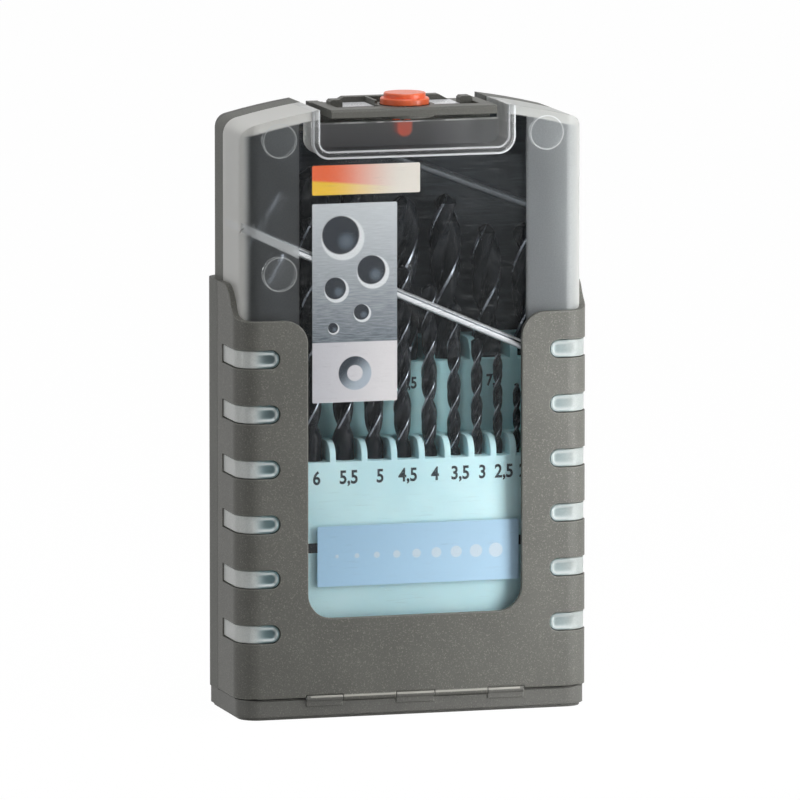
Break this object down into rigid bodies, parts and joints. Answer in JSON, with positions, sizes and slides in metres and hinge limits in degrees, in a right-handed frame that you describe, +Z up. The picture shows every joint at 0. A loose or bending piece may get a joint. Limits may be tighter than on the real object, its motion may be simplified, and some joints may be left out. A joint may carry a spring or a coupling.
{
  "type": "drill bit case",
  "caption": "Upright pocket case for twist drills: dark rear shell on a base tray, translucent front door on a barrel hinge, push-button latch on top, stepped racks inside",
  "frame": {"origin": "middle of the foot on the surface it stands on, bottom centre of the bounding box", "axes": "+X to the right of someone facing the door, -Y out of the door side, +Z up"},
  "size_m": [0.092, 0.0326, 0.1568],
  "materials": {
    "dark_shell": "dark warm grey moulded plastic with a fine light speckle",
    "dark_latch": "dark grey moulded plastic, finely textured",
    "light_insert": "light grey gloss plastic",
    "rack_blue": "light blue matte plastic",
    "bar_dark": "near-black plastic",
    "cover_clear": "translucent plastic, frosted at the sides and clear in the middle",
    "film": "clear printed film",
    "button_red": "orange-red plastic",
    "steel": "bright steel",
    "black_oxide": "black-oxide high-speed steel with bright margins"
  },
  "bodies": {
    "case": {"base_tray": "dark_shell", "back_shell": "dark_shell", "latch_bridge": "dark_latch", "left_rail_pad": "light_insert", "right_rail_pad": "light_insert", "front_rack": "rack_blue", "rear_rack": "rack_blue", "rack_bar": "bar_dark", "hinge_pin": "steel", "base_screws": "steel", "button_spring": "steel", "drill_1_0": "black_oxide", "drill_1_5": "black_oxide", "drill_2_0": "black_oxide", "drill_2_5": "black_oxide", "drill_3_0": "black_oxide", "drill_3_5": "black_oxide", "drill_4_0": "black_oxide", "drill_4_5": "black_oxide", "drill_5_0": "black_oxide", "drill_5_5": "black_oxide", "drill_6_0": "black_oxide", "drill_6_5": "black_oxide", "drill_7_0": "black_oxide", "drill_7_5": "black_oxide", "drill_8_0": "black_oxide", "drill_8_5": "black_oxide", "drill_9_0": "black_oxide", "drill_9_5": "black_oxide", "drill_10_0": "black_oxide"},
    "door": {"front_cover": "cover_clear", "front_sleeve": "dark_shell", "insert_film": "film", "front_rod": "steel", "rear_rod": "steel"},
    "button": {"release_button": "button_red"}
  },
  "joints": [
    {"name": "door_hinge", "type": "hinge", "parent": "case", "child": "door", "pos_m": [0, -0.01545, 0.0053], "axis": [1, 0, 0], "range_deg": [0, 90]},
    {"name": "button_press", "type": "slide", "parent": "case", "child": "button", "axis": [0, 0, -1], "range_m": [0, 0.0018], "stiffness_N_per_m": 900, "deforming": ["button_spring"]}
  ]
}
